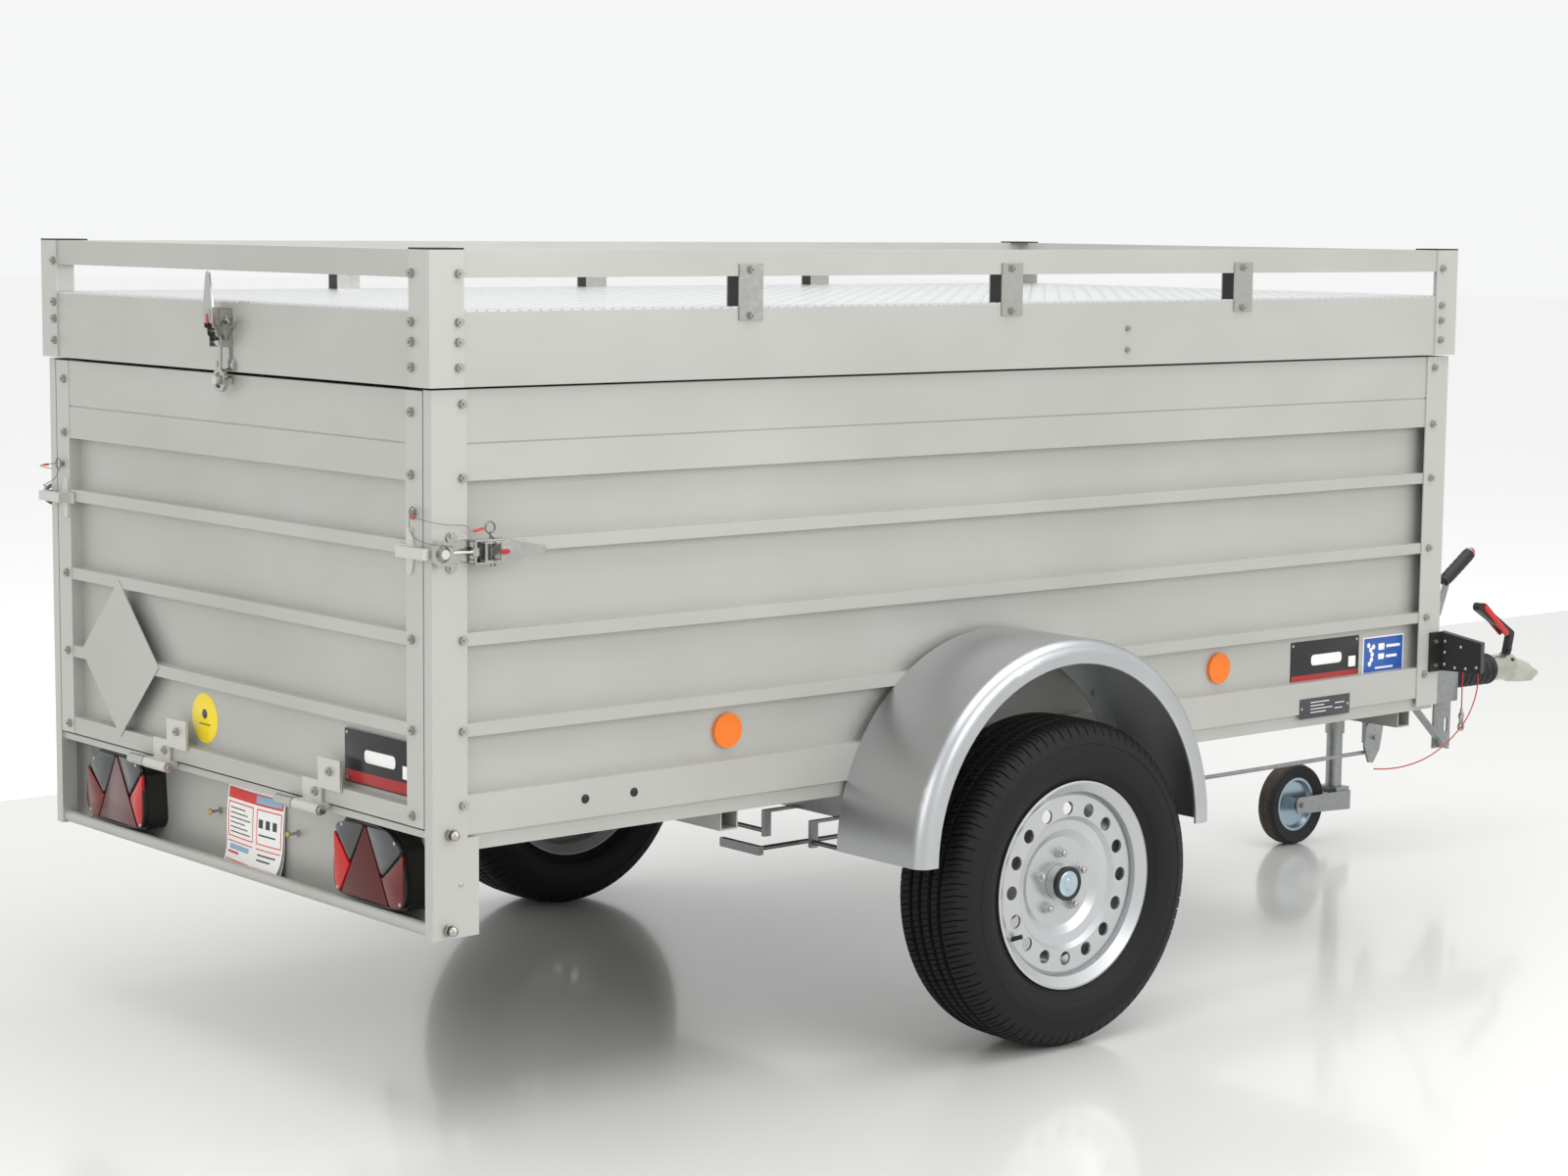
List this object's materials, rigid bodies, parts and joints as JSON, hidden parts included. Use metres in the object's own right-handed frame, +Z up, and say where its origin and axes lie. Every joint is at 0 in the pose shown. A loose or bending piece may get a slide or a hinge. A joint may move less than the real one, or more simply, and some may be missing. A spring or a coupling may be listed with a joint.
{
  "type": "box trailer",
  "caption": "Single-axle aluminium box trailer with hinged lid, roof rail, drop tailgate, mudguards, jockey wheel and overrun ball coupling.",
  "frame": {"origin": "on the ground, in the middle of the overall length and width", "axes": "+X points forward to the tow coupling, +Y to the trailer's left side, +Z up"},
  "size_m": [3.883, 1.75, 1.478],
  "materials": {
    "satin_aluminium": "satin",
    "birch_plywood": "phenolic film",
    "black_plastic": "moulded",
    "lamp_red": "clear red acrylic",
    "reflector_orange": "prismatic",
    "zinc_steel": "bright zinc plate",
    "galvanised_steel": "hot-dip galvanised",
    "rubber_black": "moulded rubber",
    "stainless": "pressed stainless sheet",
    "cast_aluminium": "sand cast",
    "painted_black": "gloss enamel",
    "rim_silver": "silver lacquer",
    "tyre_rubber": "matt rubber",
    "handle_red": "moulded",
    "cable_red": "PVC coated wire"
  },
  "bodies": {
    "body": {"floor_panel": "birch_plywood", "chassis_frame": "satin_aluminium", "right_wall": "satin_aluminium", "left_wall": "satin_aluminium", "front_wall": "satin_aluminium", "corner_posts": "satin_aluminium", "light_carrier": "satin_aluminium", "lamp_housings": "black_plastic", "lamp_lenses": "lamp_red", "post_fasteners": "zinc_steel", "side_reflectors": "reflector_orange", "mudguards": "galvanised_steel", "axle_beam": "galvanised_steel", "drawbar": "galvanised_steel", "overrun_housing": "galvanised_steel", "bellows": "rubber_black", "latch_bases": "stainless", "body_hinges": "stainless", "jockey_clamp": "galvanised_steel", "breakaway_cable": "cable_red", "cable_hook": "zinc_steel"},
    "lid": {"lid_deck": "satin_aluminium", "lid_skirts": "satin_aluminium", "lid_posts": "satin_aluminium", "lid_rails": "satin_aluminium", "lid_caps": "black_plastic", "lid_brackets": "stainless", "lid_fasteners": "zinc_steel"},
    "tailgate": {"tailgate_panel": "satin_aluminium", "tailgate_stiles": "satin_aluminium", "gate_brackets": "cast_aluminium", "gate_fasteners": "zinc_steel", "gate_plates": "satin_aluminium"},
    "right_wheel": {"right_rim": "rim_silver", "right_tyre": "tyre_rubber"},
    "left_wheel": {"left_rim": "rim_silver", "left_tyre": "tyre_rubber"},
    "right_arm": {"right_arm": "galvanised_steel"},
    "left_arm": {"left_arm": "galvanised_steel"},
    "drawtube": {"drawtube": "galvanised_steel", "coupling_head": "galvanised_steel"},
    "right_latch_lever": {"right_latch_lever": "stainless"},
    "left_latch_lever": {"left_latch_lever": "stainless"},
    "lid_latch_lever": {"lid_latch_lever": "stainless"},
    "right_latch_bolt": {"right_latch_bolt": "stainless"},
    "left_latch_bolt": {"left_latch_bolt": "stainless"},
    "lid_latch_bolt": {"lid_latch_bolt": "stainless"},
    "right_spring_tube": {"right_spring_tube": "painted_black"},
    "left_spring_tube": {"left_spring_tube": "painted_black"},
    "right_spring_rod": {"right_spring_rod": "zinc_steel"},
    "left_spring_rod": {"left_spring_rod": "zinc_steel"},
    "coupling_handle": {"coupling_handle": "handle_red"},
    "handbrake_lever": {"handbrake_lever": "galvanised_steel"},
    "brake_rod": {"brake_rod": "galvanised_steel"},
    "jockey_tube": {"jockey_tube": "galvanised_steel"},
    "jockey_stem": {"jockey_stem": "galvanised_steel"},
    "jockey_fork": {"jockey_fork": "galvanised_steel"},
    "jockey_wheel": {"jockey_wheel": "tyre_rubber"},
    "jockey_crank": {"jockey_crank": "galvanised_steel"},
    "clamp_lever": {"clamp_lever": "painted_black"}
  },
  "joints": [
    {"name": "lid_hinge", "type": "hinge", "parent": "body", "child": "lid", "pos_m": [0.7265, 0, 1.254], "axis": [0, 1, 0], "range_deg": [0, 28]},
    {"name": "tailgate_hinge", "type": "hinge", "parent": "body", "child": "tailgate", "pos_m": [-1.9165, 0, 0.522], "axis": [0, 1, 0], "range_deg": [-125, 0]},
    {"name": "right_lever_pivot", "type": "hinge", "parent": "body", "child": "right_latch_lever", "pos_m": [-1.8015, -0.669, 0.987], "axis": [0, 0, 1], "range_deg": [-100, 0]},
    {"name": "right_bolt_pivot", "type": "hinge", "parent": "body", "child": "right_latch_bolt", "pos_m": [-1.8215, -0.667, 0.987], "axis": [0, 0, 1], "range_deg": [0, 75]},
    {"name": "left_lever_pivot", "type": "hinge", "parent": "body", "child": "left_latch_lever", "pos_m": [-1.8015, 0.669, 0.987], "axis": [0, 0, 1], "range_deg": [0, 100]},
    {"name": "left_bolt_pivot", "type": "hinge", "parent": "body", "child": "left_latch_bolt", "pos_m": [-1.8215, 0.667, 0.987], "axis": [0, 0, 1], "range_deg": [-75, 0]},
    {"name": "lid_lever_pivot", "type": "hinge", "parent": "lid", "child": "lid_latch_lever", "pos_m": [-1.9195, -0.025, 1.325], "axis": [0, 1, 0], "range_deg": [-100, 0]},
    {"name": "lid_bolt_pivot", "type": "hinge", "parent": "lid", "child": "lid_latch_bolt", "pos_m": [-1.9175, -0.025, 1.305], "axis": [0, 1, 0], "range_deg": [0, 75]},
    {"name": "right_spring_pivot", "type": "hinge", "parent": "body", "child": "right_spring_tube", "pos_m": [0.0305, -0.6, 1.222], "axis": [0, 1, 0], "range_deg": [0, 58.2]},
    {"name": "right_spring_stroke", "type": "slide", "parent": "right_spring_tube", "child": "right_spring_rod", "axis": [-0.9696, 0, 0.2446], "range_m": [0, 0.2504]},
    {"name": "right_arm_pivot", "type": "hinge", "parent": "body", "child": "right_arm", "pos_m": [-0.4615, -0.545, 0.334], "axis": [0, 1, 0], "range_deg": [-8, 8], "stiffness_Nm_per_rad": 9000, "springref_deg": -1.72},
    {"name": "right_wheel_spin", "type": "hinge", "parent": "right_arm", "child": "right_wheel", "pos_m": [-0.6115, -0.779, 0.3075], "axis": [0, 1, 0], "continuous": true},
    {"name": "left_spring_pivot", "type": "hinge", "parent": "body", "child": "left_spring_tube", "pos_m": [0.0305, 0.6, 1.222], "axis": [0, 1, 0], "range_deg": [0, 58.2]},
    {"name": "left_spring_stroke", "type": "slide", "parent": "left_spring_tube", "child": "left_spring_rod", "axis": [-0.9696, 0, 0.2446], "range_m": [0, 0.2504]},
    {"name": "left_arm_pivot", "type": "hinge", "parent": "body", "child": "left_arm", "pos_m": [-0.4615, 0.545, 0.334], "axis": [0, 1, 0], "range_deg": [-8, 8], "stiffness_Nm_per_rad": 9000, "springref_deg": -1.72},
    {"name": "left_wheel_spin", "type": "hinge", "parent": "left_arm", "child": "left_wheel", "pos_m": [-0.6115, 0.779, 0.3075], "axis": [0, 1, 0], "continuous": true},
    {"name": "overrun_slide", "type": "slide", "parent": "body", "child": "drawtube", "axis": [1, 0, 0], "range_m": [-0.09, 0], "stiffness_N_per_m": 3000, "springref_m": 0.05, "deforming": ["bellows"]},
    {"name": "coupling_handle_pivot", "type": "hinge", "parent": "drawtube", "child": "coupling_handle", "pos_m": [1.814, 0, 0.431], "axis": [0, 1, 0], "range_deg": [0, 40]},
    {"name": "handbrake_pivot", "type": "hinge", "parent": "body", "child": "handbrake_lever", "pos_m": [1.2415, -0.049, 0.291], "axis": [0, 1, 0], "range_deg": [-20, 20]},
    {"name": "brake_rod_travel", "type": "slide", "parent": "body", "child": "brake_rod", "axis": [1, 0, 0], "range_m": [-0.013, 0.013]},
    {"name": "jockey_mast_slide", "type": "slide", "parent": "body", "child": "jockey_tube", "axis": [0, 0, 1], "range_m": [0, 0.12]},
    {"name": "jockey_stem_travel", "type": "slide", "parent": "jockey_tube", "child": "jockey_stem", "axis": [0, 0, 1], "range_m": [0, 0.1305]},
    {"name": "jockey_crank_turn", "type": "hinge", "parent": "jockey_tube", "child": "jockey_crank", "pos_m": [1.3615, 0.17, 0.66], "axis": [0, 0, 1], "range_deg": [0, 9360]},
    {"name": "jockey_swivel", "type": "hinge", "parent": "jockey_stem", "child": "jockey_fork", "pos_m": [1.3615, 0.17, 0.13], "axis": [0, 0, 1], "continuous": true},
    {"name": "jockey_wheel_spin", "type": "hinge", "parent": "jockey_fork", "child": "jockey_wheel", "pos_m": [1.2015, 0.17, 0.1], "axis": [0, 1, 0], "continuous": true},
    {"name": "clamp_lever_turn", "type": "hinge", "parent": "body", "child": "clamp_lever", "pos_m": [1.3615, 0.21, 0.413], "axis": [0, 1, 0], "range_deg": [0, 180]}
  ],
  "couplings": [
    {"joint": "right_spring_pivot", "follows": "lid_hinge", "ratio": 2.0606},
    {"joint": "right_spring_stroke", "follows": "lid_hinge", "m_per_rad": 0.51025},
    {"joint": "left_spring_pivot", "follows": "lid_hinge", "ratio": 2.0606},
    {"joint": "left_spring_stroke", "follows": "lid_hinge", "m_per_rad": 0.51025},
    {"joint": "brake_rod_travel", "follows": "handbrake_pivot", "m_per_rad": -0.036},
    {"joint": "jockey_stem_travel", "follows": "jockey_crank_turn", "m_per_rad": 0.00079577}
  ]
}
